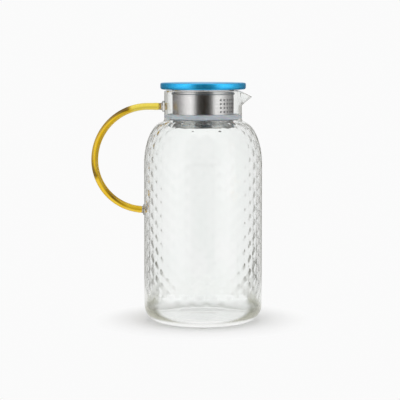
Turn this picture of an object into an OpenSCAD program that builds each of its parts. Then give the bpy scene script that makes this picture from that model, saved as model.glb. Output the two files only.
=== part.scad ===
// Glass pitcher with a steel strainer lid.
// The origin is the middle of the base. The handle is on -X and the spout on +X. Millimetres.

/* [Glass body] */
// Outer diameter of the straight side
body_d = 120; // [110:1:130]
// Thickness of the side, shoulder and neck
wall_t = 2.1; // [1.6:0.1:2.6]
// Thickness of the floor
floor_t = 4.6; // [3.5:0.1:7]
// Outer radius of the corner round the base
base_corner_r = 16; // [10:1:22]
// Inner radius of the corner round the floor
floor_corner_r = 13; // [7:1:18]
// Height where the straight side begins to curve in
side_h = 160; // [130:1:175]
// Height of the curved shoulder
shoulder_h = 43.5; // [36:0.5:50]
// Diameter of the moulded ring mark under the base
base_mark_d = 26; // [16:1:40]
// Depth of the hollow inside that ring
base_mark_depth = 0.6; // [0.3:0.1:1]

/* [Neck] */
// Height of the rim above the top of the shoulder
rim_h = 30.5; // [29:0.5:40]
// How far the hollow at the foot of the neck spreads onto the shoulder
neck_flare = 2.2; // [1:0.1:4]

/* [Spout] */
// How far the tip stands out from the neck
spout_reach = 10.6; // [6:0.2:14]
// How far the tip droops below the rim
spout_droop = 6; // [3:0.2:8]
// Where the underside leaves the neck, measured down from the rim
spout_depth = 15.4; // [13:0.2:20]
// Half of the angle of the neck that is pulled out
spout_half_angle = 25; // [20:1:34]
// Depth of the glass left under the channel at the foot of the spout
spout_floor_t = 1.4; // [1:0.1:2.4]

/* [Handle] */
// Diameter of the glass rod
rod_d = 7; // [5:0.5:9]
// Height of the upper end, measured down from the rim
handle_drop = 15.9; // [13:0.1:20]
// How far the middle of the rod stands out from the neck at its widest
handle_reach = 70.5; // [66:0.1:82]
// Radius of the upper bend
upper_bend_r = 54.4; // [46:0.1:57]
// Radius of the lower bend
lower_bend_r = 50.4; // [48:0.1:58]

/* [Handle seats] */
// Diameter of the clear glass seats where they meet the jug
seat_d = 11.4; // [10.4:0.2:14]
// How far the upper seat stands out from the neck
upper_seat_l = 4.6; // [3:0.2:8]
// How far the lower seat stands out from the side
lower_seat_l = 2.2; // [1.6:0.1:5]

/* [Lid cap] */
// Diameter of the cap
cap_d = 86.5; // [84.5:0.5:92]
// Height of the cap at its middle
cap_h = 7.2; // [6:0.1:10]
// Thickness of the cap's sheet
cap_sheet_t = 0.8; // [0.6:0.1:1]
// Radius of its upper edge
cap_top_r = 1.6; // [1.1:0.1:2.4]
// Radius of its rolled lower edge
cap_foot_r = 2.2; // [1.4:0.1:2.6]
// How much the top rises from its edge to its middle
cap_crown = 0.5; // [0.2:0.1:1]
// Width of the hem turned in under the cap
cap_hem_w = 2; // [1:0.1:3]
// Gap between the rim of the glass and the cap's hem
rim_gap = 1.3; // [0.4:0.1:1.6]

/* [Lid plate] */
// Thickness of the plate that closes the cap
plate_t = 0.8; // [0.6:0.1:1.2]
// Thickness of the collar drawn down from the plate
collar_t = 0.5; // [0.4:0.1:0.8]
// Length of the collar
collar_l = 6; // [4:0.2:7]
// Radius of the bead at the collar's lower edge
collar_bead_r = 0.5; // [0.4:0.1:0.7]

/* [Strainer sleeve] */
// Outer diameter of the sleeve
sleeve_d = 62; // [58:0.5:66]
// Thickness of its sheet
sleeve_t = 0.6; // [0.5:0.1:1]
// Length of the sleeve below the plate
sleeve_l = 39.1; // [38:0.1:44]
// How far the rolled edge at its foot stands out
sleeve_flange_w = 0.9; // [0.6:0.1:1.2]
// Diameter of a hole
hole_d = 2; // [1.2:0.1:2.6]
// Distance between the rows of holes
hole_row_pitch = 3.95; // [3.5:0.05:4.2]
// Number of rows
hole_rows = 4; // [1:1:4]
// Angle between the columns of holes
hole_column_angle = 8; // [7:0.1:12]
// Number of columns, centred on the spout
hole_columns = 15; // [2:1:20]
// Depth of the top row below the plate
hole_top_drop = 10.9; // [10:0.1:11.6]

/* [Seal] */
// Height of the seal
seal_h = 5.8; // [5:0.2:7]
// Width of the seal, from its bore to the tips of its lips
seal_w = 5.7; // [4.6:0.1:8]
// Height of the seal above the foot of the sleeve
seal_rise = 7.6; // [4:0.2:9]
// Gap between the seal and the inside of the neck
seal_neck_gap = 0.3; // [0.2:0.05:0.5]
// Gap between the seal and the sleeve that turns in it
seal_sleeve_gap = 0.3; // [0.2:0.05:0.4]
// Thickness of each lip of the seal
seal_lip_t = 1.8; // [1.1:0.1:1.9]
// Depth of the groove between the lips
seal_groove_depth = 1; // [0.6:0.1:2.4]

/* [Hidden] */
$fn = 180;

body_r = body_d / 2;
sleeve_r = sleeve_d / 2;

// The neck is as wide as the sleeve and the seal in it need.
neck_in_r = sleeve_r + seal_sleeve_gap + seal_w + seal_neck_gap;
neck_r = neck_in_r + wall_t;
rim_z = side_h + shoulder_h + rim_h;

// The shoulder is a quarter ellipse, whose middle lies just inside the neck's outer surface.
shoulder_inset = wall_t / 2;
shoulder_mid_r = neck_r - shoulder_inset;
shoulder_w = body_r - shoulder_mid_r;
shoulder_sweep = acos((shoulder_inset + neck_flare) / shoulder_w);

// The hollow fillet at the foot of the neck is tangent to the shoulder and to the neck.
flare_slope = atan2(shoulder_h * cos(shoulder_sweep), shoulder_w * sin(shoulder_sweep));
flare_r = neck_flare / (1 - sin(flare_slope));
flare_mid_z = side_h + shoulder_h * sin(shoulder_sweep) + flare_r * cos(flare_slope);

// Both bends of the rod share one widest point, and the upper one rises to the level of its seat.
handle_top_z = rim_z - handle_drop;
bend_mid_z = handle_top_z - upper_bend_r;
upper_bend_x = neck_r + handle_reach - upper_bend_r;
lower_bend_x = neck_r + handle_reach - lower_bend_r;
upper_rod_x = neck_r + upper_seat_l;
lower_rod_x = body_r + lower_seat_l;

// Each bend ends where it meets its seat. The upper one is a full quarter where the seat lies
// further in, and a straight stretch of rod fills what is left.
upper_bend_sweep = acos(max(0, (upper_rod_x - upper_bend_x) / upper_bend_r));
lower_bend_sweep = acos((lower_rod_x - lower_bend_x) / lower_bend_r);

// Levels of the lid, from the rim up and down.
hem_z = rim_z + rim_gap;
plate_z = hem_z + cap_sheet_t;
cap_r = cap_d / 2;
collar_r = sleeve_r + collar_t;
sleeve_foot_z = plate_z - sleeve_l;
seal_foot_z = sleeve_foot_z + seal_rise;
seal_top_z = seal_foot_z + seal_h;

// One overrun serves every cut.
overrun = 1;

// The spout's skins are grids, across it and up it.
spout_columns = 16;
spout_rows = 7;
spout_us = [for (i = [0 : spout_columns]) 2 * i / spout_columns - 1];
pull_power = 1.5;
rise_power = 1.1;
spout_root_z = rim_z - spout_depth;
// The spout's glass meets the rim just below its top, and the cuts just above it.
lip_lift = wall_t / 8;

// The top edge of the cap turns almost a quarter round, up to the slope of its crown.
cap_edge_sweep = 90 - atan2(cap_crown, cap_d / 2 - cap_top_r);
// How far round each lip of the seal is rolled, past its tip.
lip_sweep = 60;

// Points along part of a circle, from one angle to another.
function arc(mid, r, from, to, steps) =
    [for (i = [0 : steps]) let (a = from + (to - from) * i / steps) mid + r * [cos(a), sin(a)]];

// A point of the shoulder's ellipse, moved in square to its surface.
function shoulder_point(a, inset) =
    let (across = [shoulder_h * cos(a), shoulder_w * sin(a)])
    [shoulder_mid_r + shoulder_w * cos(a), side_h + shoulder_h * sin(a)]
    - inset * across / norm(across);

// The shoulder and neck, from the straight side up to the rim, moved in by one thickness.
function shoulder_and_neck(inset) = concat(
    [for (i = [0 : 12]) shoulder_point(shoulder_sweep * i / 12, inset)],
    arc([neck_r + flare_r, flare_mid_z], flare_r + inset, 270 - flare_slope, 180, 5));

function reversed(points) = [for (i = [len(points) - 1 : -1 : 0]) points[i]];

// Half of the section through the glass: up the outside, over the rim and down the inside.
function glass_section() = concat(
    [[0, base_mark_depth], [base_mark_d / 2 - base_mark_depth, base_mark_depth], [base_mark_d / 2, 0]],
    arc([body_r - base_corner_r, base_corner_r], base_corner_r, -90, 0, 8),
    shoulder_and_neck(0),
    arc([neck_r - wall_t / 2, rim_z - wall_t / 2], wall_t / 2, 0, 180, 8),
    reversed(shoulder_and_neck(wall_t)),
    arc([body_r - wall_t - floor_corner_r, floor_t + floor_corner_r], floor_corner_r, 0, -90, 7),
    [[0, floor_t]]);

// How far the glass is pulled, as a share: full in the middle of the spout and none at its edges.
function pull_share(u) = pow(1 - pow(abs(u), pull_power), 2);

// Height of the spout's lip.
function lip_z(u) = rim_z - spout_droop * pull_share(u);

// One column of the spout's skin, from its foot to its lip. The foot starts behind the neck's
// surface, so that the spout leaves the neck in one clean line.
function spout_column(u, foot_r, tip_r, foot_z, top_z) =
    let (a = u * spout_half_angle)
    [for (row = [0 : spout_rows])
        let (up = row / spout_rows, r = foot_r + (tip_r - foot_r) * pull_share(u) * pow(up, rise_power))
        [r * cos(a), r * sin(a), foot_z + (top_z - foot_z) * up]];

// The same column moved in or out to one radius.
function column_at(column, u, r) =
    let (a = u * spout_half_angle)
    [for (p = column) [r * cos(a), r * sin(a), p.z]];

// A closed block between two skins that have the same columns and rows.
module block_between(front, back) {
    n = len(front[0]);
    far = len(front) * n;
    last = far - n;
    skin = [for (c = [0 : len(front) - 2], r = [0 : n - 2]) c * n + r];
    foot = [for (c = [0 : len(front) - 2]) c * n];
    side = [for (r = [0 : n - 2]) r];
    polyhedron([for (column = concat(front, back), p = column) p], concat(
        [for (i = skin) each [[i, i + 1, i + n + 1], [i, i + n + 1, i + n]]],
        [for (j = skin) let (i = j + far) each [[i, i + n, i + n + 1], [i, i + n + 1, i + 1]]],
        [for (i = foot) each [[i + far, i, i + n], [i + far, i + n, i + n + far]]],
        [for (j = foot) let (i = j + n - 1) each [[i + far, i + n, i], [i + far, i + n + far, i + n]]],
        [for (i = side) each [[i + far, i + 1 + far, i + 1], [i + far, i + 1, i]]],
        [for (j = side) let (i = j + last) each [[i + far, i + 1, i + 1 + far], [i + far, i, i + 1]]]));
}

// The spout's glass outside the neck, and the channel that runs up inside it.
module spout_outside() {
    front = [for (u = spout_us) spout_column(u, neck_r - wall_t / 2, neck_r + spout_reach,
        spout_root_z, lip_z(u) - lip_lift * (1 - pull_share(u)))];
    back = [for (i = [0 : len(front) - 1]) column_at(front[i], spout_us[i], neck_r - wall_t * 3 / 4)];
    block_between(front, back);
}

module spout_channel() {
    front = [for (u = spout_us) spout_column(u, neck_in_r - wall_t / 2,
        neck_r + spout_reach - wall_t, spout_root_z + spout_floor_t, lip_z(u) + lip_lift)];
    back = [for (i = [0 : len(front) - 1]) column_at(front[i], spout_us[i], neck_in_r - wall_t)];
    block_between(front, back);
}

// What is cut away above the lip, down to where it droops.
module spout_lip_cut() {
    front = [for (u = spout_us)
        let (a = u * spout_half_angle, r = neck_r + spout_reach + overrun)
        [[r * cos(a), r * sin(a), lip_z(u) + lip_lift / 2], [r * cos(a), r * sin(a), rim_z + overrun]]];
    back = [for (i = [0 : len(front) - 1]) column_at(front[i], spout_us[i], neck_in_r - wall_t)];
    block_between(front, back);
}

module glass_body() {
    color("lightcyan", 0.4) difference() {
        union() {
            rotate_extrude() polygon(glass_section());
            spout_outside();
        }
        spout_channel();
        spout_lip_cut();
    }
}

// One bend of the rod, from its widest point round through a number of degrees.
module rod_bend(mid_x, bend_r, sweep) {
    translate([-mid_x, 0, bend_mid_z]) rotate([90, 0, 0])
        rotate([0, 0, sweep > 0 ? 180 - sweep : 180])
            rotate_extrude(angle = abs(sweep)) translate([bend_r, 0]) circle(d = rod_d);
}

module handle_rod() {
    straight_l = upper_bend_x - upper_rod_x;
    color("gold", 0.9) union() {
        if (straight_l > 0) translate([-upper_bend_x, 0, handle_top_z]) rotate([0, 90, 0])
            cylinder(d = rod_d, h = straight_l);
        rod_bend(upper_bend_x, upper_bend_r, upper_bend_sweep);
        rod_bend(lower_bend_x, lower_bend_r, -lower_bend_sweep);
    }
}

// A seat is a gob of clear glass, drawn from the jug's wall out to the size of the rod.
module handle_seat(length) {
    waist_share = 0.55;
    foot_r = seat_d / 2;
    end_r = rod_d / 2;
    waist_r = end_r + (foot_r - end_r) * (1 - waist_share);
    rotate_extrude() polygon([[0, 0], [end_r, 0], [waist_r, length * waist_share],
                              [foot_r, length], [foot_r, length + wall_t], [0, length + wall_t]]);
}

module upper_handle_seat() {
    end_z = bend_mid_z + upper_bend_r * sin(upper_bend_sweep);
    color("white", 0.5) difference() {
        translate([-upper_rod_x, 0, end_z]) rotate([0, upper_bend_sweep, 0]) handle_seat(upper_seat_l);
        translate([0, 0, flare_mid_z]) cylinder(r = neck_r, h = rim_z - flare_mid_z);
    }
}

module lower_handle_seat() {
    end_z = bend_mid_z - lower_bend_r * sin(lower_bend_sweep);
    color("white", 0.5) difference() {
        translate([-lower_rod_x, 0, end_z]) rotate([0, 180 - lower_bend_sweep, 0])
            handle_seat(lower_seat_l);
        translate([0, 0, base_corner_r]) cylinder(r = body_r, h = side_h - base_corner_r);
    }
}

// The cap is one sheet, drawn over at the top and turned in under the plate.
function cap_skin(inset) = concat(
    arc([cap_r - cap_foot_r, hem_z + cap_foot_r], cap_foot_r - inset, -90, 0, 6),
    arc([cap_r - cap_top_r, hem_z + cap_h - cap_crown - cap_top_r], cap_top_r - inset,
        0, cap_edge_sweep, 6),
    [[cap_r / 2, hem_z + cap_h - cap_crown / 4 - inset], [0, hem_z + cap_h - inset]]);

module lid_cap() {
    hem_in_r = cap_r - cap_foot_r - cap_hem_w;
    color("#0A6AA8") rotate_extrude()
        polygon(concat([[hem_in_r, hem_z + cap_sheet_t], [hem_in_r, hem_z]],
                       cap_skin(0), reversed(cap_skin(cap_sheet_t))));
}

// The plate lies on the cap's hem, and its collar goes down round the top of the sleeve.
module lid_plate() {
    collar_foot_z = plate_z - collar_l;
    color("lightsteelblue") union() {
        translate([0, 0, plate_z]) cylinder(r = cap_r - cap_foot_r, h = plate_t);
        translate([0, 0, collar_foot_z]) difference() {
            cylinder(r = collar_r, h = collar_l + plate_t / 2);
            translate([0, 0, -overrun]) cylinder(r = sleeve_r, h = collar_l + overrun);
        }
        translate([0, 0, collar_foot_z + collar_bead_r]) rotate_extrude()
            translate([collar_r, 0]) intersection() {
                circle(r = collar_bead_r);
                translate([-collar_t / 2, -collar_bead_r])
                    square([collar_bead_r + collar_t, 2 * collar_bead_r]);
            }
    }
}

module hole_pattern() {
    first_angle = -hole_column_angle * (hole_columns - 1) / 2;
    for (row = [0 : hole_rows - 1], column = [0 : hole_columns - 1])
        translate([0, 0, plate_z - hole_top_drop - hole_row_pitch * row])
            rotate([0, 0, first_angle + hole_column_angle * column])
                translate([sleeve_r - sleeve_t - overrun, 0, 0]) rotate([0, 90, 0])
                    cylinder(d = hole_d, h = sleeve_t + 2 * overrun, $fn = 32);
}

module strainer_sleeve() {
    bore_r = sleeve_r - sleeve_t;
    flange_r = sleeve_r + sleeve_flange_w;
    color("silver") difference() {
        rotate_extrude() polygon(concat(
            [[bore_r, sleeve_foot_z]],
            arc([flange_r - sleeve_t / 2, sleeve_foot_z + sleeve_t / 2], sleeve_t / 2, -90, 90, 6),
            [[sleeve_r, sleeve_foot_z + 2 * sleeve_t], [sleeve_r, plate_z], [bore_r, plate_z]]));
        hole_pattern();
    }
}

module seal_ring() {
    bore_r = sleeve_r + seal_sleeve_gap;
    lip_r = neck_in_r - seal_neck_gap;
    lip_round_r = seal_lip_t / 2;
    lip_mid_r = lip_r - lip_round_r;
    groove_r = lip_r - seal_groove_depth;
    color("lightsteelblue", 0.7) rotate_extrude() polygon(concat(
        [[bore_r, seal_foot_z]],
        arc([lip_mid_r, seal_foot_z + lip_round_r], lip_round_r, -90, lip_sweep, 5),
        [[groove_r, seal_foot_z + seal_lip_t + lip_round_r / 2],
         [groove_r, seal_top_z - seal_lip_t - lip_round_r / 2]],
        arc([lip_mid_r, seal_top_z - lip_round_r], lip_round_r, -lip_sweep, 90, 5),
        [[bore_r, seal_top_z]]));
}

glass_body();
handle_rod();
upper_handle_seat();
lower_handle_seat();
lid_cap();
lid_plate();
strainer_sleeve();
seal_ring();
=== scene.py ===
import math
import bmesh
import bpy
import numpy as np
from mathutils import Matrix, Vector


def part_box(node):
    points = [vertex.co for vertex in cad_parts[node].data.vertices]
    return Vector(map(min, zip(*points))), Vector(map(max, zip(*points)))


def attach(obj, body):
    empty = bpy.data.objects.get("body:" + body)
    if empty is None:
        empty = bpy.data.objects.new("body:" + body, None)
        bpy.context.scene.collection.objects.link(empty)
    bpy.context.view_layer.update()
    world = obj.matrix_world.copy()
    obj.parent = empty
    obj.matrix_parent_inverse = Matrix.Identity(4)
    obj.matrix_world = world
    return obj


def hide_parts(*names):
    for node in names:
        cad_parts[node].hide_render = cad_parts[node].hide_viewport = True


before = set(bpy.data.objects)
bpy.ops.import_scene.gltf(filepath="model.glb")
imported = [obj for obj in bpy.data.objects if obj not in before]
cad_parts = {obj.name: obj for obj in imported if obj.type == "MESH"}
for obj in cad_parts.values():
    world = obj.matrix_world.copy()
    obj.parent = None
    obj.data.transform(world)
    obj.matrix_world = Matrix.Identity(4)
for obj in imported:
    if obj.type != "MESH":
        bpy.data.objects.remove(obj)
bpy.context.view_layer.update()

# The camera. It stands well back from the jug with a long lens, a little above the lid, and
# looks down on it by a few degrees, so that the upright lines of the glass stay straight.
lens_length = 133.3
lens_distance = 1.5
lens_height = 0.2699
lens_side = -0.0031
lens_tilt = math.radians(5.595)
lens = bpy.data.cameras.new("lens")
lens.lens = lens_length
camera = bpy.data.objects.new("camera", lens)
camera.location = (lens_side, -lens_distance, lens_height)
camera.rotation_euler = (math.pi / 2 - lens_tilt, 0, 0)
bpy.context.collection.objects.link(camera)
bpy.context.scene.camera = camera
bpy.context.scene.view_settings.view_transform = "Standard"


# The room. White all round, and bright for whatever looks at it, straight, in polish or
# through glass. As light on the jug it is weaker, so that pale things keep their shade.
white = (1, 1, 1, 1)
white_level = 0.96
room_light_level = 0.55


def add_node(tree, kind, settings=None, **inputs):
    """One node. An input is a value or another node's socket."""
    node = tree.nodes.new("ShaderNode" + kind)
    for name, value in (settings or {}).items():
        setattr(node, name, value)
    for name, value in inputs.items():
        socket = node.inputs[int(name[1:])] if name[1:].isdigit() else node.inputs[name.replace("_", " ")]
        if isinstance(value, bpy.types.NodeSocket):
            tree.links.new(value, socket)
        else:
            socket.default_value = value
    return node


def maths(tree, operation, *values):
    """The outcome of one step of arithmetic on numbers and sockets."""
    numbered = {f"_{k}": value for k, value in enumerate(values)}
    return add_node(tree, "Math", {"operation": operation}, **numbered).outputs[0]


def seen_not_lit(tree):
    """1 for the rays that look at a thing, straight, in a reflection or through glass."""
    path = add_node(tree, "LightPath").outputs
    seen = maths(tree, "MAXIMUM", path["Is Camera Ray"], path["Is Glossy Ray"])
    return maths(tree, "MAXIMUM", seen, path["Is Transmission Ray"])


room = bpy.data.worlds.new("room")
room.use_nodes = True
bpy.context.scene.world = room
room_tree = room.node_tree
room_tree.nodes.clear()
room_seen = add_node(room_tree, "Background", Color=white, Strength=white_level)
room_light = add_node(room_tree, "Background", Color=white, Strength=room_light_level)
room_mix = add_node(room_tree, "MixShader", _0=seen_not_lit(room_tree),
                    _1=room_light.outputs[0], _2=room_seen.outputs[0])
add_node(room_tree, "OutputWorld", Surface=room_mix.outputs[0])


# The table top. A pale matt sheet of paper that runs out of sight. It takes the soft shadow
# round the foot of the jug, and a painted contact shadow, a grey painted in close round the
# foot, deepens it there. Further out it goes over into the white of the room.
table_z = -0.0003
table_rings = [0.3, 0.8, 2, 5, 12]
table_steps = 64
paper_dark = (0.89, 0.89, 0.89, 1)
paper_pale = (0.92, 0.92, 0.92, 1)
paper_grain = 900.0
painted_contact_grey = (0.7, 0.7, 0.7, 1)
contact_shade_from, contact_shade_to, contact_shade_share = 0.057, 0.076, 0.2
shadow_from, shadow_to = 0.06, 0.115
foot_from, foot_to, foot_glow_share = 0.05, 0.058, 0.92


def new_material(name):
    """A material with an empty tree."""
    material = bpy.data.materials.new(name)
    material.use_nodes = True
    tree = material.node_tree
    tree.nodes.clear()
    return material, tree


def object_place(tree):
    """The place of a spot, in the frame of the part."""
    return add_node(tree, "TexCoord").outputs["Object"]


def length_of(tree, vector):
    return add_node(tree, "VectorMath", {"operation": "LENGTH"}, _0=vector).outputs["Value"]


def evenly(tree, value, start, end, low=0.0, high=1.0):
    """From low to high at an even rate, as the value goes from start to end."""
    return add_node(tree, "MapRange", Value=value, From_Min=start, From_Max=end,
                    To_Min=low, To_Max=high).outputs["Result"]


def eased(tree, value, start, end, low=0.0, high=1.0):
    """From low to high with a soft start and end, as the value goes from start to end."""
    return add_node(tree, "MapRange", {"interpolation_type": "SMOOTHSTEP"}, Value=value,
                    From_Min=start, From_Max=end, To_Min=low, To_Max=high).outputs["Result"]


def blend(tree, share, first, second):
    """The first colour, gone over into the second by the share."""
    return add_node(tree, "MixRGB", _0=share, _1=first, _2=second).outputs[0]


def panel_mesh(name, corners, faces):
    mesh = bpy.data.meshes.new(name)
    mesh.from_pydata(corners, [], faces)
    item = bpy.data.objects.new(name, mesh)
    bpy.context.collection.objects.link(item)
    return item


table_turns = [2 * math.pi * k / table_steps for k in range(table_steps)]
table_corners = [(0, 0, table_z)] + [(r * math.cos(a), r * math.sin(a), table_z)
                                     for r in table_rings for a in table_turns]
table_faces = [(0, 1 + k, 1 + (k + 1) % table_steps) for k in range(table_steps)]
for ring in range(len(table_rings) - 1):
    near, far = 1 + ring * table_steps, 1 + (ring + 1) * table_steps
    table_faces += [(near + k, far + k, far + (k + 1) % table_steps, near + (k + 1) % table_steps)
                    for k in range(table_steps)]
table = panel_mesh("table", table_corners, table_faces)
table_paper, tree = new_material("pale_table")
place = object_place(tree)
away = length_of(tree, place)
grain = add_node(tree, "TexNoise", Vector=place, Scale=paper_grain, Detail=3.0)
paper = blend(tree, grain.outputs["Fac"], paper_dark, paper_pale)
# Painted contact shadow: close round the foot the paper goes over into grey.
contact_shaded = blend(tree, eased(tree, away, contact_shade_from, contact_shade_to, contact_shade_share, 0.0), paper, painted_contact_grey)
sheet = add_node(tree, "BsdfDiffuse", Color=contact_shaded)
far_white = add_node(tree, "Emission", Color=white, Strength=white_level)

# Painted light: under the foot the sheet glows white for whatever looks down through the jug.
past_shadow = eased(tree, away, shadow_from, shadow_to)
glow_under_foot = eased(tree, away, foot_from, foot_to, foot_glow_share, 0.0)
through_jug = maths(tree, "SUBTRACT", 1.0, add_node(tree, "LightPath").outputs["Is Camera Ray"])
fade = maths(tree, "MAXIMUM", past_shadow, maths(tree, "MULTIPLY", glow_under_foot, through_jug))
share = maths(tree, "MULTIPLY", seen_not_lit(tree), fade)
table_mix = add_node(tree, "MixShader", _0=share, _1=sheet.outputs[0], _2=far_white.outputs[0])
add_node(tree, "OutputMaterial", Surface=table_mix.outputs[0])
table.data.materials.append(table_paper)


# The lamps. Two soft boxes stand left and right of the lens, and a wide one hangs above. They
# only throw light: polish and glass show the walls of the studio in their place.
lamp_aim = Vector((0, 0, 0.14))


def soft_box(name, bearing, height, distance, width, power):
    """A square soft box that looks at the jug. Its bearing is measured from the lens, rightwards."""
    lamp = bpy.data.lights.new(name, "AREA")
    lamp.shape = "RECTANGLE"
    lamp.size = width
    lamp.size_y = width
    lamp.energy = power
    turn = math.radians(bearing)
    item = bpy.data.objects.new(name, lamp)
    item.location = (distance * math.sin(turn), -distance * math.cos(turn), height)
    aim = lamp_aim - item.location
    item.rotation_euler = aim.to_track_quat("-Z", "Y").to_euler()
    item.visible_glossy = False
    item.visible_transmission = False
    bpy.context.collection.objects.link(item)


soft_box("left_box", bearing=-52, height=0.45, distance=1.3, width=0.9, power=5)
soft_box("right_box", bearing=52, height=0.45, distance=1.3, width=0.9, power=5)
soft_box("top_box", bearing=10, height=1.7, distance=0.3, width=1.6, power=12)


# The studio's walls, floor and roof. Sheets with dark stretches between white ones, so that
# steel and glass have something dark to show. They throw no light and no shadow, and the lens
# sees them only in polish and through glass.
wall_r, wall_tall, wall_steps = 2.6, 2.0, 72
floor_r, floor_lift, pale_floor_r = 0.14, 0.001, 0.36
pale_floor, pale_floor_share = (0.96, 0.96, 0.95, 1), 0.85
frost_shade = (0.92, 0.92, 0.92, 1)
band_mid, band_half, band_front = 0.15, 0.07, -1.95
floor_strength, wall_strength = 0.8, 1.5
roof_z, roof_side, roof_front, roof_back = 2.3, 2.2, -2.4, 2.9

# What glass bends towards the lens. Each stop is (bearing, shade).
glass_shades = [
    (-180, (1, 1, 1)), (-167.5, (1, 1, 1)), (-165, (0.45, 0.445, 0.41)), (-162, (0.16, 0.157, 0.13)),
    (-157, (0.18, 0.177, 0.15)), (-151, (0.5, 0.495, 0.47)), (-140, (0.66, 0.655, 0.64)),
    (-100, (0.72, 0.715, 0.71)), (-60, (0.9, 0.9, 0.9)), (-30, (1, 1, 1)), (30, (1, 1, 1)),
    (60, (0.9, 0.9, 0.9)), (100, (0.8, 0.795, 0.79)), (140, (0.74, 0.735, 0.72)),
    (151, (0.5, 0.495, 0.47)), (157, (0.18, 0.177, 0.15)), (162, (0.16, 0.157, 0.13)),
    (165, (0.45, 0.445, 0.41)), (167.5, (1, 1, 1)), (180, (1, 1, 1))]

# Polish shows a dark stretch in front, a white one on each side, and dark corners behind. Each
# stop is (turn away from the middle of the dark stretch, grey), and both sides are alike.
dark_middle, back_grey, warmth = 3, 0.48, 0.004
polish_turns = [(20, 0.04), (30, 0.3), (40, 0.9), (55, 1.0), (70, 0.85), (90, 0.45), (110, 0.25),
                (140, 0.08), (150, 0.08), (160, 0.28)]
polish_greys = [(-180, back_grey), *((dark_middle - turn, grey) for turn, grey in reversed(polish_turns)),
                (dark_middle, 0.01), *((dark_middle + turn, grey) for turn, grey in polish_turns),
                (180, back_grey)]
polish_shades = [(turn, (grey, grey - warmth, grey - 2 * warmth)) for turn, grey in polish_greys]


def studio_sheet(name, corners, faces):
    sheet = panel_mesh(name, corners, faces)
    sheet.visible_camera = False
    sheet.visible_diffuse = False
    sheet.visible_shadow = False
    return sheet


def axes_of(tree, vector):
    """The three numbers of a place, by axis."""
    return add_node(tree, "SeparateXYZ", _0=vector).outputs


def ramp(tree, value, stops):
    """A row of colours that run into each other. Each stop is (place from 0 to 1, colour)."""
    shades = add_node(tree, "ValToRGB", Fac=value)
    elements = shades.color_ramp.elements
    elements.remove(elements[-1])
    for k, (share, shade) in enumerate(stops):
        stop = elements[0] if k == 0 else elements.new(share)
        stop.position = share
        stop.color = (*shade, 1)
    return shades.outputs["Color"]


wall_turns = np.linspace(0, 2 * math.pi, wall_steps, endpoint=False)
wall_rings = [(floor_r, floor_lift), (wall_r, floor_lift), (wall_r, wall_tall)]
studio_walls = studio_sheet(
    "studio_walls",
    [(r * math.cos(a), r * math.sin(a), z) for r, z in wall_rings for a in wall_turns],
    [(low + k, low + (k + 1) % wall_steps, low + wall_steps + (k + 1) % wall_steps, low + wall_steps + k)
     for low in (0, wall_steps) for k in range(wall_steps)])
studio_roof = studio_sheet(
    "studio_roof",
    [(-roof_side, roof_front, roof_z), (roof_side, roof_front, roof_z),
     (roof_side, roof_back, roof_z), (-roof_side, roof_back, roof_z)],
    [(0, 1, 2, 3)])
wall_paint, tree = new_material("studio_walls")
place = object_place(tree)
spot = axes_of(tree, place)
bearing = maths(tree, "ARCTAN2", spot["X"], maths(tree, "MULTIPLY", spot["Y"], -1.0))
round_share = evenly(tree, bearing, -math.pi, math.pi)


def wall_shade(stops):
    """The shade of the walls at a bearing."""
    return ramp(tree, round_share, [((degrees + 180) / 360, shade) for degrees, shade in stops])


# Metal throws the polish shades back. So does the front of the neck, for rays that have been
# inside the glass, and so does all glass for a low band of the wall in front.
path = add_node(tree, "LightPath").outputs
from_metal = maths(tree, "SUBTRACT", 1.0, path["Is Singular Ray"])
from_inside = maths(tree, "GREATER_THAN", path["Transmission Depth"], 2.5)
below_roof = maths(tree, "LESS_THAN", spot["Z"], roof_z - 0.1)
through_neck = maths(tree, "MULTIPLY", from_inside, below_roof)
on_band = maths(tree, "COMPARE", spot["Z"], band_mid, band_half)
front_band = maths(tree, "MULTIPLY", on_band, maths(tree, "LESS_THAN", spot["Y"], band_front))
polished = maths(tree, "MAXIMUM", maths(tree, "MAXIMUM", from_metal, through_neck), front_band)
mirrored = maths(tree, "GREATER_THAN", path["Glossy Depth"], 0.5)
thrown_back = maths(tree, "MULTIPLY", mirrored, polished)
near_foot = eased(tree, length_of(tree, place), floor_r, pale_floor_r, pale_floor_share, 0.0)
through_glass = blend(tree, near_foot, wall_shade(glass_shades), pale_floor)
through_frost = blend(tree, from_metal, through_glass, frost_shade)
wall_colour = blend(tree, thrown_back, through_frost, wall_shade(polish_shades))
above_floor = maths(tree, "GREATER_THAN", spot["Z"], 0.01)
polish_strength = evenly(tree, above_floor, 0.0, 1.0, floor_strength, wall_strength)
strength = evenly(tree, thrown_back, 0.0, 1.0, white_level, polish_strength)
wall_shine = add_node(tree, "Emission", Color=wall_colour, Strength=strength)
add_node(tree, "OutputMaterial", Surface=wall_shine.outputs[0])
studio_walls.data.materials.append(wall_paint)
studio_roof.data.materials.append(wall_paint)


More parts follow.
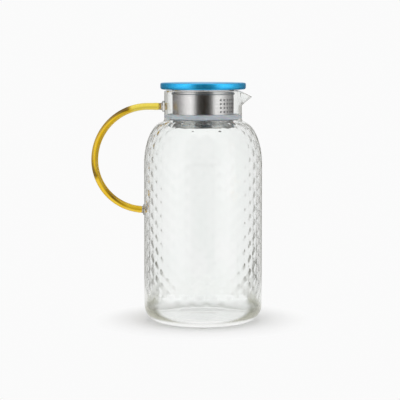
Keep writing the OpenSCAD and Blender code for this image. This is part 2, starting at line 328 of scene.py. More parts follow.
# The jug. One piece of clear glass, blown into a mould that leaves columns of shallow round
# hollows all over its side and shoulder, most of their depth inside. The neck stays plain, its
# rim is melted round, and the spout is pulled out of the rim while the glass is soft.
jug_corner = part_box("glass_body")[1]
jug_r = jug_corner.y
rim_z = jug_corner.z
neck_r = 0.0394
wall = 0.0021
floor_t = 0.0046
foot_bend_r = 0.016
floor_bend_r = 0.013
side_top = 0.160
shoulder_tall = 0.0435
neck_flare = 0.0022
mark_r = 0.013
mark_deep = 0.0006
middle_r = 0.004
spout_reach = 0.0106
spout_droop = 0.006
spout_thins = 0.0006
spout_root = rim_z - 0.0154
spout_soft = 0.1
spout_half_angle = math.radians(25)
hollow_columns = 48
hollow_pitch = 0.0139
hollow_deep = 0.00006
inner_share = 5
hollow_edge = 0.0049
hollow_soften = 2.0e-6
hollow_foot = 0.0185
stray_across, stray_up = 0.0005, 0.0006
low_fade_run, top_fade_run, top_fade_past = 0.011, 0.006, 0.004
jug_steps = 360
side_step, inner_step, neck_step, under_step, floor_step = 0.0048, 0.0015, 0.0018, 0.01, 0.012


def arc_points(mid, r, from_deg, to_deg, count):
    angles = np.radians(np.linspace(from_deg, to_deg, count))
    return [(mid[0] + r * math.cos(a), mid[1] + r * math.sin(a)) for a in angles]


def line_points(start, end, step):
    count = max(1, round(math.dist(start, end) / step))
    return [(start[0] + (end[0] - start[0]) * k / count, start[1] + (end[1] - start[1]) * k / count)
            for k in range(count + 1)]


def join_points(*runs):
    """Runs of points as one line, each meeting point once."""
    line = []
    for run in runs:
        line += [p for p in run if not line or math.dist(p, line[-1]) > 1e-6]
    return line


def smooth_piece(name, points, faces):
    """A piece from points and faces, with every face turned outwards and shaded smooth."""
    mesh = bpy.data.meshes.new(name)
    mesh.from_pydata(points, [], faces)
    shell = bmesh.new()
    shell.from_mesh(mesh)
    bmesh.ops.remove_doubles(shell, verts=shell.verts, dist=1e-6)
    bmesh.ops.recalc_face_normals(shell, faces=shell.faces)
    for face in shell.faces:
        face.smooth = True
    shell.to_mesh(mesh)
    shell.free()
    item = bpy.data.objects.new(name, mesh)
    bpy.context.collection.objects.link(item)
    return item


def turned_mesh(name, rings, closed_ends=(False, False)):
    """A skin from rings of points, one above the other. An end that is a single point closes it."""
    count = len(rings[0])
    points = np.concatenate([np.asarray(ring, float) for ring in rings]).tolist()
    faces = []
    for k in range(len(rings) - 1):
        below, above = k * count, (k + 1) * count
        faces += [(below + i, below + (i + 1) % count, above + (i + 1) % count, above + i)
                  for i in range(count)]
    for end, row, flip in ((closed_ends[0], 0, True), (closed_ends[1], len(rings) - 1, False)):
        if end:
            points.append(end)
            tip = len(points) - 1
            around = [(row * count + i, row * count + (i + 1) % count) for i in range(count)]
            faces += [(b, a, tip) if flip else (a, b, tip) for a, b in around]
    return smooth_piece(name, points, faces)


# The shoulder is a quarter of an ellipse, cut where a short flare takes over into the neck.
shoulder_mid_r = neck_r - wall / 2
shoulder_wide = jug_r - shoulder_mid_r
shoulder_sweep = math.acos((wall / 2 + neck_flare) / shoulder_wide)
flare_slope = math.atan2(shoulder_tall * math.cos(shoulder_sweep), shoulder_wide * math.sin(shoulder_sweep))
flare_turn = 270 - math.degrees(flare_slope)
flare_r = neck_flare / (1 - math.sin(flare_slope))
flare_z = side_top + shoulder_tall * math.sin(shoulder_sweep) + flare_r * math.cos(flare_slope)


def shoulder_points(inset, count):
    line = []
    for a in np.linspace(0, shoulder_sweep, count):
        across = np.array([shoulder_tall * math.cos(a), shoulder_wide * math.sin(a)])
        across = across / np.linalg.norm(across)
        line.append((shoulder_mid_r + shoulder_wide * math.cos(a) - inset * across[0],
                     side_top + shoulder_tall * math.sin(a) - inset * across[1]))
    return line


foot_mid_r = jug_r - foot_bend_r
floor_mid_r = jug_r - wall - floor_bend_r
outside = join_points(
    [(middle_r, mark_deep), (0.7 * mark_r, 0.75 * mark_deep), (0.88 * mark_r, 0.3 * mark_deep), (mark_r, 0)],
    line_points((mark_r, 0), (foot_mid_r, 0), under_step),
    arc_points((foot_mid_r, foot_bend_r), foot_bend_r, -90, 0, 14),
    line_points((jug_r, foot_bend_r), (jug_r, side_top), side_step),
    shoulder_points(0, 22),
    arc_points((neck_r + flare_r, flare_z), flare_r, flare_turn, 180, 7),
    line_points((neck_r, flare_z), (neck_r, rim_z - wall / 2), neck_step))
rim = arc_points((neck_r - wall / 2, rim_z - wall / 2), wall / 2, 0, 180, 9)
inside = join_points(
    line_points((neck_r - wall, rim_z - wall / 2), (neck_r - wall, flare_z), neck_step),
    arc_points((neck_r + flare_r, flare_z), flare_r + wall, 180, flare_turn, 6),
    shoulder_points(wall, 36)[::-1],
    line_points((jug_r - wall, side_top), (jug_r - wall, floor_t + floor_bend_r), inner_step),
    arc_points((floor_mid_r, floor_t + floor_bend_r), floor_bend_r, 0, -90, 13),
    line_points((floor_mid_r, floor_t), (middle_r, floor_t), floor_step))
section = join_points(outside, rim, inside)
section_r = np.array([p[0] for p in section])
section_z = np.array([p[1] for p in section])

# Each vertex starts on the plain turned form. The hollows push it in, square to the surface,
# and a hollow on the inner skin lies right behind the one outside.
turn = 2 * np.pi * np.arange(jug_steps) / jug_steps
way = np.concatenate([[0], np.cumsum(np.hypot(np.diff(section_r), np.diff(section_z)))])
along_r, along_z = np.gradient(section_r), np.gradient(section_z)
square = np.hypot(along_r, along_z)
out_r, out_z = along_z / square, -along_r / square
outer_count = len(outside)
outer_r, outer_z, outer_way = section_r[:outer_count], section_z[:outer_count], way[:outer_count]
hollow_start = outer_way[np.argmin(np.abs(outer_z - hollow_foot) + (outer_r < 0.05))]
hollow_end = outer_way[-1] - (rim_z - flare_z)
matched_way = np.interp(section_z - wall * out_z, outer_z[outer_r > 0.03], outer_way[outer_r > 0.03])
dice = np.random.RandomState(11)
hollow_rows = int((hollow_end - hollow_start) / hollow_pitch) + 3
drift_across = dice.uniform(-stray_across, stray_across, (hollow_columns, hollow_rows))
drift_up = dice.uniform(-stray_up, stray_up, (hollow_columns, hollow_rows))
hollow_share = dice.uniform(0.85, 1.05, (hollow_columns, hollow_rows))


def hollow_depth(r, s):
    """How deep the outer skin is pushed in round one ring, from the hollows near it."""
    column = turn / (2 * np.pi) * hollow_columns + 0.5
    column_mid = np.floor(column + 0.5).astype(int)
    total = np.zeros(jug_steps)
    weighted = np.zeros(jug_steps)
    for side in (-1, 0, 1):
        j = (column_mid + side) % hollow_columns
        shift = 0.5 * (j % 2)
        row_mid = np.floor((s - hollow_start) / hollow_pitch - shift + 0.5).astype(int)
        for step in (-1, 0, 1):
            i = np.clip(row_mid + step, 0, hollow_rows - 1)
            across = r * (column - column_mid - side) * 2 * np.pi / hollow_columns - drift_across[j, i]
            up = s - hollow_start - (row_mid + step + shift) * hollow_pitch - drift_up[j, i]
            weight = np.exp(-(across ** 2 + up ** 2) / hollow_soften)
            total += weight
            weighted += weight * hollow_share[j, i]
    near = -hollow_soften * np.log(total + 1e-300)
    edge = hollow_edge * min(1, r / jug_r)
    depth = hollow_deep * (1 - near / edge ** 2) * weighted / (total + 1e-300)
    return np.clip(depth, 0, None)


angle = (turn + np.pi) % (2 * np.pi) - np.pi
pull = (1 - np.clip(np.abs(angle / spout_half_angle), 0, 1) ** 1.5) ** 2
rings = []
for k, (r, z) in enumerate(section):
    push = np.zeros(jug_steps)
    inner_skin = k >= outer_count + len(rim) - 1 and z > floor_t + 0.001
    if k < outer_count or inner_skin:
        s = matched_way[k] if inner_skin else way[k]
        low_fade = np.clip((s - hollow_start) / low_fade_run, 0, 1)
        top_fade = np.clip((hollow_end + top_fade_past - s) / top_fade_run, 0, 1)
        fade = low_fade * top_fade
        if fade > 0:
            push = hollow_depth(r, s) * fade ** 2 * (3 - 2 * fade)
        if inner_skin:
            push = inner_share * push
    ring_r = r - push * out_r[k]
    ring_z = z - push * out_z[k]
    if z > spout_root:
        up = (z - spout_root) / (rim_z - spout_root)
        ease = (math.hypot(up, spout_soft) - spout_soft) / (math.hypot(1, spout_soft) - spout_soft)
        inner = np.clip((neck_r - r) / wall, 0, 1)
        ring_r = ring_r + (spout_reach - spout_thins * inner) * pull * ease
        ring_z = ring_z - spout_droop * pull * up
    rings.append(np.stack([ring_r * np.cos(turn), ring_r * np.sin(turn), ring_z], axis=1))
jug = turned_mesh("jug", rings, closed_ends=((0, 0, mark_deep), (0, 0, floor_t)))


def make_group(name, inputs, outputs):
    """A node group with named sockets. Each input is (name, kind, value)."""
    group = bpy.data.node_groups.new(name, "ShaderNodeTree")
    for label, kind, value in inputs:
        socket = group.interface.new_socket(label, in_out="INPUT", socket_type="NodeSocket" + kind)
        socket.default_value = value
    for label, kind in outputs:
        group.interface.new_socket(label, in_out="OUTPUT", socket_type="NodeSocket" + kind)
    return group, group.nodes.new("NodeGroupInput").outputs, group.nodes.new("NodeGroupOutput").inputs


def use_group(tree, group, **inputs):
    node = tree.nodes.new("ShaderNodeGroup")
    node.node_tree = group
    for name, value in inputs.items():
        node.inputs[name].default_value = value
    return node.outputs


def times(tree, vector, scales):
    """A place, stretched along the axes."""
    return add_node(tree, "VectorMath", {"operation": "MULTIPLY"}, _0=vector, _1=scales).outputs[0]


# Blown and drawn glass is never quite even: long soft waves, and a tint that drifts a little.
glass_waves, enter, leave = make_group(
    "glass_waves", [("Scale", "Float", 60.0), ("Tall", "Float", 0.4), ("Wave", "Float", 0.0002),
                    ("Clear", "Color", white), ("Deep", "Color", (0.9, 0.9, 0.9, 1))],
    [("Height", "Float"), ("Tint", "Color")])
squash = add_node(glass_waves, "CombineXYZ", _0=1.0, _1=1.0, _2=enter["Tall"])
stretched = times(glass_waves, object_place(glass_waves), squash.outputs[0])
waves = add_node(glass_waves, "TexNoise", Vector=stretched, Scale=enter["Scale"], Detail=1.5).outputs["Fac"]
height = maths(glass_waves, "MULTIPLY", waves, enter["Wave"])
drift = evenly(glass_waves, waves, 0.35, 0.65)
glass_waves.links.new(height, leave["Height"])
glass_waves.links.new(blend(glass_waves, drift, enter["Clear"], enter["Deep"]), leave["Tint"])


worn_mirrored, worn_turned = 2.5, 8.5


def goes_straight(tree):
    """1 for rays from the lamps, and for rays that have been turned so often that they are worn out."""
    path = add_node(tree, "LightPath").outputs
    mirrored = maths(tree, "GREATER_THAN", path["Glossy Depth"], worn_mirrored)
    turned = maths(tree, "GREATER_THAN", path["Ray Depth"], worn_turned)
    return maths(tree, "MAXIMUM", path["Is Shadow Ray"], maths(tree, "MAXIMUM", mirrored, turned))


def finish_glass(tree, tint, height, ripple, shadow_tint, **shader):
    """Glass with a rippled skin. Light from the lamps goes straight through it and takes a tint."""
    bumps = add_node(tree, "Bump", Height=height, Strength=ripple, Distance=1.0)
    glass = add_node(tree, "BsdfPrincipled", Base_Color=tint, Normal=bumps.outputs["Normal"],
                     Transmission_Weight=1.0, **shader)
    lets_by = add_node(tree, "BsdfTransparent", Color=shadow_tint)
    mixed = add_node(tree, "MixShader", _0=goes_straight(tree), _1=glass.outputs[0], _2=lets_by.outputs[0])
    add_node(tree, "OutputMaterial", Surface=mixed.outputs[0])


def from_axis(tree, place):
    """How far a spot lies from the axis of the jug."""
    return length_of(tree, times(tree, place, (1, 1, 0)))


clear_glass, tree = new_material("clear_glass")
waves = use_group(tree, glass_waves, Scale=55.0, Tall=0.35, Wave=0.00025,
                  Clear=(0.985, 0.99, 0.985, 1), Deep=(0.96, 0.975, 0.965, 1))

# In the round corner of the foot the glass is seen along its length, and there it is tinted olive: partly
# the glass's own tint along the long way through it, partly painted shade that darkens the corner.
olive_tint_and_shade = (0.23, 0.23, 0.16, 1)
corner_in_r, corner_out_r, corner_top_z, corner_low_z = 0.0545, 0.0575, 0.03, 0.014
place = object_place(tree)
near_edge = eased(tree, from_axis(tree, place), corner_in_r, corner_out_r)
low_down = eased(tree, axes_of(tree, place)["Z"], corner_top_z, corner_low_z)
slanting = eased(tree, add_node(tree, "LayerWeight", Blend=0.5).outputs["Facing"], 0.3, 0.45)
way_in = maths(tree, "SUBTRACT", 1.0, add_node(tree, "NewGeometry").outputs["Backfacing"])
corner = maths(tree, "MULTIPLY", near_edge, low_down)
corner_tint_and_shade = maths(tree, "MULTIPLY", maths(tree, "MULTIPLY", slanting, corner), way_in)
finish_glass(tree, blend(tree, corner_tint_and_shade, waves["Tint"], olive_tint_and_shade), waves["Height"], ripple=0.6,
             shadow_tint=(0.965, 0.965, 0.955, 1), Roughness=0.0, IOR=1.48)
jug.data.materials.append(clear_glass)
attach(jug, "pitcher")
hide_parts("glass_body")


# The handle. A rod of amber glass, drawn to 7 mm, heated and bent round in two sweeps that
# meet where it stands out furthest, with both ends cut square for the seats.
rod_low, rod_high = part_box("handle_rod")
rod_r = rod_high.y
rod_top = rod_high.z - rod_r
rod_reach = -rod_low.x - rod_r
upper_bend_r = 0.0544
lower_bend_r = 0.0504
bend_z = rod_top - upper_bend_r
side_r = 0.060
upper_seat_long = 0.0046
lower_seat_long = 0.0022
upper_rod_x = neck_r + upper_seat_long
lower_rod_x = side_r + lower_seat_long
upper_mid_x = rod_reach - upper_bend_r
lower_mid_x = rod_reach - lower_bend_r
lower_sweep = math.acos((lower_rod_x - lower_mid_x) / lower_bend_r)
end_bead = [0.93, 1.03, 1.05, 1.0]
dark_amber = (0.06, 0.018, 0.0002, 1)
highlight_amber = (1.0, 0.83, 0.13, 1)
ring_from, ring_to, ring_depth = -upper_rod_x - 0.0016, -upper_rod_x - 0.0008, 0.7
straight_to, bend_from, straight_highlight_share = 0.09, 0.12, 0.85
route = join_points(
    line_points((-upper_rod_x, rod_top), (-upper_mid_x, rod_top), 0.002),
    arc_points((-upper_mid_x, bend_z), upper_bend_r, 90, 180, 56),
    arc_points((-lower_mid_x, bend_z), lower_bend_r, 180, 180 + math.degrees(lower_sweep), 54))


def rod_rings(steps):
    """Rings square to the route. The heated ends swell a little before they meet the seats."""
    turn = 2 * np.pi * np.arange(steps) / steps
    rings = []
    for k, (x, z) in enumerate(route):
        before, after = route[max(k - 1, 0)], route[min(k + 1, len(route) - 1)]
        ahead = np.array([after[0] - before[0], after[1] - before[1]])
        ahead = ahead / np.linalg.norm(ahead)
        from_end = min(k, len(route) - 1 - k)
        r = rod_r * (end_bead[from_end] if from_end < len(end_bead) else 1)
        rings.append(np.stack([x - ahead[1] * r * np.cos(turn), r * np.sin(turn),
                               z + ahead[0] * r * np.cos(turn)], axis=1))
    return rings


rod = turned_mesh("handle", rod_rings(40),
                  closed_ends=((route[0][0], 0, route[0][1]), (route[-1][0], 0, route[-1][1])))
amber_glass, tree = new_material("amber_glass")
waves = use_group(tree, glass_waves, Scale=150.0, Tall=0.3, Wave=0.0002,
                  Clear=(1.0, 0.69, 0.045, 1), Deep=(0.93, 0.58, 0.02, 1))

# Darker streaks are painted along the rod: painted shade and reflection for the dark stretches that its
# bends show. They are placed by the turn round the bend and by how far out a spot lies across the rod, from
# -1 at its inner edge to 1 at its outer edge.
spot = axes_of(tree, object_place(tree))
low_half = maths(tree, "LESS_THAN", spot["Z"], bend_z)
mid_x = maths(tree, "MULTIPLY_ADD", low_half, upper_bend_r - lower_bend_r, upper_mid_x)
across = maths(tree, "MINIMUM", maths(tree, "ADD", spot["X"], mid_x), 0.0)
above = maths(tree, "SUBTRACT", spot["Z"], bend_z)
reach = length_of(tree, add_node(tree, "CombineXYZ", _0=across, _1=above, _2=0.0).outputs[0])
bend_r = maths(tree, "MULTIPLY_ADD", low_half, lower_bend_r - upper_bend_r, upper_bend_r)
outward = maths(tree, "DIVIDE", maths(tree, "SUBTRACT", reach, bend_r), rod_r)
swing = maths(tree, "ARCTAN2", maths(tree, "MULTIPLY", across, -1.0), above)
swing_share = evenly(tree, swing, 0.0, math.pi)


def painted_streak(stops):
    """How deep one painted dark streak is at a spot. A stop is (degrees round, place, half width, depth),
    and the last three go through the ramp as its red, green and blue."""
    packed = [(degrees / 180, ((centre + 1) / 2, half, depth)) for degrees, centre, half, depth in stops]
    centre, half, depth = add_node(tree, "SeparateColor", _0=ramp(tree, swing_share, packed)).outputs
    centre = evenly(tree, centre, 0.0, 1.0, -1.0, 1.0)
    away = maths(tree, "ABSOLUTE", maths(tree, "SUBTRACT", outward, centre))
    return maths(tree, "MULTIPLY", eased(tree, away, half, maths(tree, "MULTIPLY", half, 0.5)), depth)


outer_painted_streak = painted_streak([
    (0, 0.45, 0.5, 0.0), (17, 0.45, 0.5, 0.0), (22, 0.55, 0.9, 0.85), (40, 0.8, 0.7, 0.9),
    (70, 0.95, 0.65, 0.5), (95, 0.75, 0.65, 0.75), (108, 0.4, 0.5, 0.8), (113, 0.35, 0.3, 0.0)])
inner_painted_streak = painted_streak([
    (0, -0.3, 0.4, 0.25), (45, -0.45, 0.5, 0.35), (80, -0.45, 0.5, 0.6), (120, -0.45, 0.5, 0.65),
    (140, -0.2, 0.45, 0.9), (160, 0.0, 0.35, 0.4)])
end_ring = evenly(tree, spot["X"], ring_from, ring_to, 0.0, ring_depth)
painted_streaks_and_end_ring = maths(tree, "MAXIMUM", maths(tree, "MAXIMUM", outer_painted_streak, inner_painted_streak), end_ring)
# A painted highlight: the straight top of the rod goes over into a paler amber.
straight_top_highlight = evenly(tree, swing_share, straight_to, bend_from, straight_highlight_share, 0.0)
amber = blend(tree, painted_streaks_and_end_ring, blend(tree, straight_top_highlight, waves["Tint"], highlight_amber), dark_amber)
finish_glass(tree, amber, waves["Height"], ripple=0.5, shadow_tint=(0.85, 0.66, 0.2, 1),
             Roughness=0.02, IOR=1.45, Specular_IOR_Level=0.12)
rod.data.materials.append(amber_glass)
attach(rod, "pitcher")
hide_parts("handle_rod")


# The seats. Two gobs of clear glass that were melted onto the neck and the side, and drawn out
# to take the ends of the rod. The upper one shows the amber of the rod where they meet.
seat_r = 0.0057
seat_sunk = 0.0008
rod_seen = (0.4, 0.24, 0.04, 1)
amber_from, amber_to = -neck_r - 0.0032, -neck_r - 0.0022
lower_lean = math.cos(lower_sweep) / math.sin(lower_sweep)
lower_rod_z = bend_z - lower_bend_r * math.sin(lower_sweep)
lower_seat_z = lower_rod_z - lower_lean * lower_seat_long


def seat_rings(wall_r, mid_z, reach, lean, steps):
    """Rings from the rod's end back to the wall. A height of 0 lies on the wall's round surface."""
    outline = [(0.96 * rod_r, reach), (1.0 * rod_r, reach * 0.93), (1.0 * rod_r, reach * 0.75),
               (1.1 * rod_r, reach * 0.52), (0.90 * seat_r, reach * 0.40), (seat_r, reach * 0.26),
               (seat_r, reach * 0.10), (0.95 * seat_r, -seat_sunk / 2), (0.9 * seat_r, -seat_sunk)]
    turn = 2 * np.pi * np.arange(steps) / steps
    rings = []
    for r, out in outline:
        y = r * np.sin(turn)
        rise = r * np.cos(turn)
        x = -(np.sqrt(wall_r ** 2 - y ** 2) + out)
        rings.append(np.stack([x + lean * rise * out / reach, y, mid_z + rise + lean * out], axis=1))
    return rings


seat_glass, tree = new_material("seat_glass")
waves = use_group(tree, glass_waves, Scale=140.0, Tall=1.0, Wave=0.0002,
                  Clear=(0.93, 0.92, 0.89, 1), Deep=(0.74, 0.71, 0.64, 1))
spot = axes_of(tree, object_place(tree))
near_rod = evenly(tree, spot["X"], amber_from, amber_to, 1.0, 0.0)
amber_share = maths(tree, "MULTIPLY", near_rod, maths(tree, "GREATER_THAN", spot["Z"], side_top))
finish_glass(tree, blend(tree, amber_share, waves["Tint"], rod_seen), waves["Height"], ripple=0.6,
             shadow_tint=(0.9, 0.9, 0.87, 1), Roughness=0.02, IOR=1.5)
for name, node, wall_r, mid_z, reach, lean in (
        ("upper_seat", "upper_handle_seat", neck_r, rod_top, upper_seat_long, 0),
        ("lower_seat", "lower_handle_seat", jug_r, lower_seat_z, lower_seat_long, lower_lean)):
    rings = seat_rings(wall_r, mid_z, reach, lean, 40)
    ends = [tuple(rings[0].mean(axis=0)), tuple(rings[-1].mean(axis=0))]
    seat = turned_mesh(name, rings, closed_ends=ends)
    seat.data.materials.append(seat_glass)
    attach(seat, "pitcher")
    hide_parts(node)


# The cap of the lid. One steel sheet, drawn over at the top and rolled in under its foot, with
# a clear blue lacquer over the bright metal.
cap_low, cap_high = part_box("lid_cap")
cap_r = cap_high.y
cap_foot, cap_top = cap_low.z, cap_high.z
cap_sheet = 0.0008
cap_top_r, cap_foot_r = 0.0016, 0.0022
cap_crown = 0.0005
hem_wide = 0.002
cap_edge_z = cap_top - cap_crown
hem_in_r = cap_r - cap_foot_r - hem_wide


def cap_skin(inset, count):
    crown = [(cap_r * share, cap_edge_z + cap_crown * (1 - share ** 2) - inset)
             for share in (0.9, 0.75, 0.6, 0.4, 0.2, 0.05)]
    return join_points(
        arc_points((cap_r - cap_foot_r, cap_foot + cap_foot_r), cap_foot_r - inset, -90, 0, count),
        arc_points((cap_r - cap_top_r, cap_edge_z - cap_top_r), cap_top_r - inset, 0, 87, count),
        crown)


def circle_rings(profile, steps):
    """A ring of points round the axis of the jug for each point of the profile."""
    turn = 2 * np.pi * np.arange(steps) / steps
    return [np.stack([r * np.cos(turn), r * np.sin(turn), np.full(steps, z)], axis=1) for r, z in profile]


cap_section = join_points(
    cap_skin(cap_sheet, 6)[::-1],
    [(hem_in_r, cap_foot + cap_sheet)],
    arc_points((hem_in_r, cap_foot + cap_sheet / 2), cap_sheet / 2, 90, 270, 7),
    cap_skin(0, 9))
cap = turned_mesh("lid_cap_shell", circle_rings(cap_section, 240),
                  closed_ends=((0, 0, cap_top - cap_sheet), (0, 0, cap_top)))

# Rolled and turned metal carries fine lines round the axis, which show as grain.
turned_grain, enter, leave = make_group(
    "turned_grain", [("Around", "Float", 40.0), ("Up", "Float", 3000.0), ("Deep", "Float", 0.00001),
                     ("Rough", "Float", 0.25), ("Spread", "Float", 0.1),
                     ("Light", "Color", (0.7, 0.7, 0.7, 1)), ("Dark", "Color", (0.5, 0.5, 0.5, 1))],
    [("Height", "Float"), ("Roughness", "Float"), ("Shade", "Color")])
scales = add_node(turned_grain, "CombineXYZ", _0=enter["Around"], _1=enter["Around"], _2=enter["Up"])
stretched = times(turned_grain, object_place(turned_grain), scales.outputs[0])
lines = add_node(turned_grain, "TexNoise", Vector=stretched, Scale=1.0, Detail=4.0,
                 Roughness=0.65).outputs["Fac"]
height = maths(turned_grain, "MULTIPLY", lines, enter["Deep"])
centred = maths(turned_grain, "SUBTRACT", lines, 0.5)
spread = maths(turned_grain, "MULTIPLY_ADD", centred, enter["Spread"], enter["Rough"])
shade = blend(turned_grain, evenly(turned_grain, lines, 0.36, 0.64), enter["Dark"], enter["Light"])
turned_grain.links.new(height, leave["Height"])
turned_grain.links.new(spread, leave["Roughness"])
turned_grain.links.new(shade, leave["Shade"])


def finish_metal(tree, colour, grain, depth, **shader):
    """Metal of a colour, with its grain in the gloss and in the surface."""
    bumps = add_node(tree, "Bump", Height=grain["Height"], Strength=depth, Distance=1.0)
    metal = add_node(tree, "BsdfPrincipled", Base_Color=colour, Roughness=grain["Roughness"],
                     Normal=bumps.outputs["Normal"], **shader)
    add_node(tree, "OutputMaterial", Surface=metal.outputs[0])


blue_lacquer, tree = new_material("blue_lacquer")
grain = use_group(tree, turned_grain, Around=1500.0, Up=1500.0, Deep=0.000006, Rough=0.31, Spread=0.24,
                  Light=(0.07, 0.68, 0.97, 1), Dark=(0.0, 0.33, 0.9, 1))
finish_metal(tree, grain["Shade"], grain, depth=0.7, Metallic=0.82, Coat_Weight=0.14, Coat_Roughness=0.12)
cap.data.materials.append(blue_lacquer)
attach(cap, "lid")
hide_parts("lid_cap")


# The plate of the lid. A steel plate that lies on the cap's hem and closes it from below, with
# a collar drawn down round the top of the sleeve, and a bead rolled round the collar's edge.
plate_low, plate_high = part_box("lid_plate")
plate_t = 0.0008
plate_r = plate_high.y
plate_z = plate_high.z - plate_t
plate_top = plate_z + plate_t
plate_mid_r, plate_half_r = 0.002, 0.02
sleeve_r = 0.031
collar_t = 0.0005
collar_r = sleeve_r + collar_t
collar_in_r = sleeve_r + 0.00005
collar_foot = plate_low.z
bead_r = 0.0005
press_r = 0.0012
plate_section = join_points(
    [(plate_mid_r, plate_top), (plate_half_r, plate_top), (plate_r - plate_t / 2, plate_top)],
    arc_points((plate_r - plate_t / 2, plate_z + plate_t / 2), plate_t / 2, 90, -90, 7),
    line_points((plate_r - plate_t, plate_z), (collar_r + press_r, plate_z), 0.003),
    arc_points((collar_r + press_r, plate_z - press_r), press_r, 90, 180, 7),
    line_points((collar_r, plate_z - press_r), (collar_r, collar_foot + 2.4 * bead_r), 0.001),
    [(collar_r, collar_foot + 2.1 * bead_r), (collar_r + 0.0001, collar_foot + 1.9 * bead_r)],
    arc_points((collar_r, collar_foot + bead_r), 0.9 * bead_r, 60, -90, 9),
    [(collar_in_r, collar_foot), (collar_in_r, plate_z), (plate_half_r, plate_z), (plate_mid_r, plate_z)])
plate = turned_mesh("lid_plate_and_collar", circle_rings(plate_section, 180),
                    closed_ends=((0, 0, plate_top), (0, 0, plate_z)))
plate_steel, tree = new_material("plate_steel")
grain = use_group(tree, turned_grain, Around=30.0, Up=2600.0, Deep=0.000002, Rough=0.2, Spread=0.12,
                  Light=(0.70, 0.69, 0.69, 1), Dark=(0.59, 0.58, 0.58, 1))
finish_metal(tree, grain["Shade"], grain, depth=0.5, Metallic=1.0)
plate.data.materials.append(plate_steel)
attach(plate, "lid")
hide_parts("lid_plate")


# The strainer sleeve. Steel sheet rolled into a tube and welded up the back, with four rows of
# punched holes on the side of the spout, and its foot rolled out below the seal.
sleeve_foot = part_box("strainer_sleeve")[0].z
sleeve_t = 0.0006
sleeve_in_r = sleeve_r - sleeve_t
flange_r = sleeve_r + 0.0009
hole_r = 0.001
hole_rows, hole_columns = 4, 15
hole_turn = math.radians(8)
hole_pitch = 0.00395
hole_top = plate_z - 0.0109
cell_steps, plain_steps = 6, 120
level_step = 0.002
sharp_bend = math.radians(50)
# Painted shade: darker steel below the seal, and near-black steel inside the tube and in the holes.
painted_shade_steel = (0.27, 0.275, 0.25, 1)
shade_below_from, shade_below_to, shade_below_share = sleeve_foot + 0.009, sleeve_foot + 0.0075, 0.7
painted_inner_shade = (0.06, 0.058, 0.055, 1)
inner_shade_r = sleeve_r - 0.00006

# The sheet is laid out in levels and turns. The field of holes has square cells, one a hole.
field_half = hole_turn * hole_columns / 2
field_top = hole_top + hole_pitch / 2
field_foot = field_top - hole_pitch * hole_rows
field_angles = [-field_half + hole_turn * k / cell_steps for k in range(hole_columns * cell_steps + 1)]
plain_angles = [field_half + (2 * math.pi - 2 * field_half) * k / plain_steps for k in range(1, plain_steps)]
whole_turn = field_angles + plain_angles + field_angles[:1]
past_field = field_angles[-1:] + plain_angles + field_angles[:1]
field_zs = [field_foot + hole_pitch * k / cell_steps for k in range(hole_rows * cell_steps + 1)]
low_zs = [z for _, z in line_points((0, sleeve_foot + 2 * sleeve_t), (0, field_foot), level_step)][:-1]
high_zs = [z for _, z in line_points((0, field_top), (0, plate_z - 0.0001), level_step)][1:]
levels = low_zs + field_zs + high_zs
sleeve_points, sleeve_faces, found = [], [], {}


def sleeve_vertex(angle, z, r):
    key = (round(math.cos(angle) * 1e5), round(math.sin(angle) * 1e5), round(z * 1e7), round(r * 1e7))
    if key not in found:
        found[key] = len(sleeve_points)
        sleeve_points.append((r * math.cos(angle), r * math.sin(angle), z))
    return found[key]


def sleeve_band(lower, upper, angles):
    """A band of faces between two (radius, height) circles."""
    for a, b in zip(angles, angles[1:]):
        sleeve_faces.append((sleeve_vertex(a, lower[1], lower[0]), sleeve_vertex(b, lower[1], lower[0]),
                             sleeve_vertex(b, upper[1], upper[0]), sleeve_vertex(a, upper[1], upper[0])))


def sleeve_strip(first, second):
    """A strip of faces between two closed loops of vertices."""
    for k in range(len(first)):
        n = (k + 1) % len(first)
        sleeve_faces.append((first[k], first[n], second[n], second[k]))


for m in range(len(levels) - 1):
    in_field = len(low_zs) <= m < len(low_zs) + len(field_zs) - 1
    for r in (sleeve_r, sleeve_in_r):
        sleeve_band((r, levels[m]), (r, levels[m + 1]), past_field if in_field else whole_turn)
for column in range(hole_columns):
    for row in range(hole_rows):
        mid_a = -field_half + hole_turn * (column + 0.5)
        mid_z = field_foot + hole_pitch * (row + 0.5)
        hole_rims = []
        for r in (sleeve_r, sleeve_in_r):
            edge, hole_rim = [], []
            for k in range(4 * cell_steps):
                part, along = divmod(k, cell_steps)
                t = 2 * along / cell_steps - 1
                px, pz = [(1, t), (-t, 1), (-1, -t), (t, -1)][part]
                edge.append(sleeve_vertex(mid_a + px * hole_turn / 2, mid_z + pz * hole_pitch / 2, r))
                bearing = math.atan2(pz, px)
                hole_rim.append(sleeve_vertex(mid_a + hole_r * math.cos(bearing) / sleeve_r,
                                              mid_z + hole_r * math.sin(bearing), r))
            sleeve_strip(edge, hole_rim)
            hole_rims.append(hole_rim)
        sleeve_strip(*hole_rims)
foot_line = join_points(
    [(sleeve_r, levels[0]), (sleeve_r + 0.0001, sleeve_foot + 1.25 * sleeve_t)],
    arc_points((flange_r - sleeve_t / 2, sleeve_foot + sleeve_t / 2), sleeve_t / 2, 90, -90, 8),
    [(sleeve_r - sleeve_t / 2, sleeve_foot), (sleeve_in_r, sleeve_foot + sleeve_t / 2),
     (sleeve_in_r, levels[0])])
for lower, upper in zip(foot_line, foot_line[1:]):
    sleeve_band(lower, upper, whole_turn)
sleeve_band((sleeve_r, levels[-1]), (sleeve_in_r, levels[-1]), whole_turn)
strainer = smooth_piece("strainer", sleeve_points, sleeve_faces)
shell = bmesh.new()
shell.from_mesh(strainer.data)
for edge in shell.edges:
    if len(edge.link_faces) == 2 and edge.calc_face_angle(0) > sharp_bend:
        edge.smooth = False
shell.to_mesh(strainer.data)
shell.free()

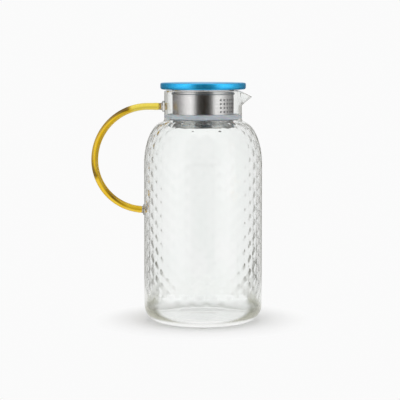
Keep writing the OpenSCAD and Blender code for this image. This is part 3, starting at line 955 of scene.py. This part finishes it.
# The sheet shades as a true round tube, whatever the size of its faces between the holes.
sheet_normals = []
for face in strainer.data.polygons:
    for corner in face.loop_indices:
        spot = strainer.data.vertices[strainer.data.loops[corner].vertex_index].co
        outward = Vector((spot.x, spot.y, 0)).normalized()
        faces_out = face.normal.dot(outward)
        if abs(faces_out) > 0.97 and spot.z > levels[0] - 0.00001:
            sheet_normals.append(outward if faces_out > 0 else -outward)
        else:
            sheet_normals.append(strainer.data.corner_normals[corner].vector.copy())
strainer.data.normals_split_custom_set(sheet_normals)
sleeve_steel, tree = new_material("sleeve_steel")
grain = use_group(tree, turned_grain, Around=25.0, Up=2200.0, Deep=0.0000014, Rough=0.22, Spread=0.14,
                  Light=(0.705, 0.687, 0.693, 1), Dark=(0.635, 0.62, 0.625, 1))

# Below the seal the steel is painted darker, as painted shade. Inside the tube, and in the punched holes, it
# is painted near black, as painted shade.
place = object_place(tree)
painted_shade_below_seal = eased(tree, axes_of(tree, place)["Z"], shade_below_from, shade_below_to, 0.0, shade_below_share)
inner = maths(tree, "LESS_THAN", from_axis(tree, place), inner_shade_r)
shaded_below_seal = blend(tree, painted_shade_below_seal, grain["Shade"], painted_shade_steel)
finish_metal(tree, blend(tree, inner, shaded_below_seal, painted_inner_shade), grain, depth=0.5, Metallic=1.0)
strainer.data.materials.append(sleeve_steel)
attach(strainer, "lid")
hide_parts("strainer_sleeve")


# The seal. A ring of grey-blue silicone, moulded with two soft lips that press on the neck, and
# stretched over the sleeve. Its low lip lies in the shade of the neck.
seal_low, seal_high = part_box("seal_ring")
seal_foot, seal_top = seal_low.z, seal_high.z
seal_mid = (seal_foot + seal_top) / 2
pressed_r = neck_r - wall + 0.00005
seal_bore = sleeve_r + 0.0003
bore_round, lip_round, low_round = 0.0003, 0.0008, 0.0024
groove_top, groove_foot, groove_deep = 0.0005, 0.0003, 0.00003
shaded_blue = (0.13, 0.18, 0.24, 1)
shade_from, shade_to, shade_share = seal_foot + 0.002, seal_foot + 0.0004, 0.85
seal_section = join_points(
    line_points((seal_bore, seal_foot + bore_round), (seal_bore, seal_top - bore_round), 0.002),
    arc_points((seal_bore + bore_round, seal_top - bore_round), bore_round, 180, 90, 4),
    arc_points((pressed_r - lip_round, seal_top - lip_round), lip_round, 90, 0, 8),
    [(pressed_r, seal_mid + groove_top), (pressed_r - groove_deep, seal_mid + groove_foot)],
    arc_points((pressed_r - low_round, seal_foot + low_round), low_round, 0, -90, 10),
    arc_points((seal_bore + bore_round, seal_foot + bore_round), bore_round, -90, -180, 4))
seal_rings = circle_rings(seal_section[::-1], 200)
seal = turned_mesh("seal", seal_rings + [seal_rings[0]])
silicone, tree = new_material("silicone")
waves = use_group(tree, glass_waves, Scale=220.0, Tall=1.0, Wave=0.00004,
                  Clear=(0.60, 0.64, 0.69, 1), Deep=(0.52, 0.57, 0.63, 1))
low_lip = eased(tree, axes_of(tree, object_place(tree))["Z"], shade_from, shade_to, 0.0, shade_share)
ripple = add_node(tree, "Bump", Height=waves["Height"], Strength=0.5, Distance=1.0)
rubber = add_node(tree, "BsdfPrincipled", Base_Color=blend(tree, low_lip, waves["Tint"], shaded_blue),
                  Normal=ripple.outputs["Normal"], Roughness=0.4, Subsurface_Weight=0.3,
                  Subsurface_Scale=0.002)
add_node(tree, "OutputMaterial", Surface=rubber.outputs[0])
seal.data.materials.append(silicone)
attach(seal, "seal")
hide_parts("seal_ring")
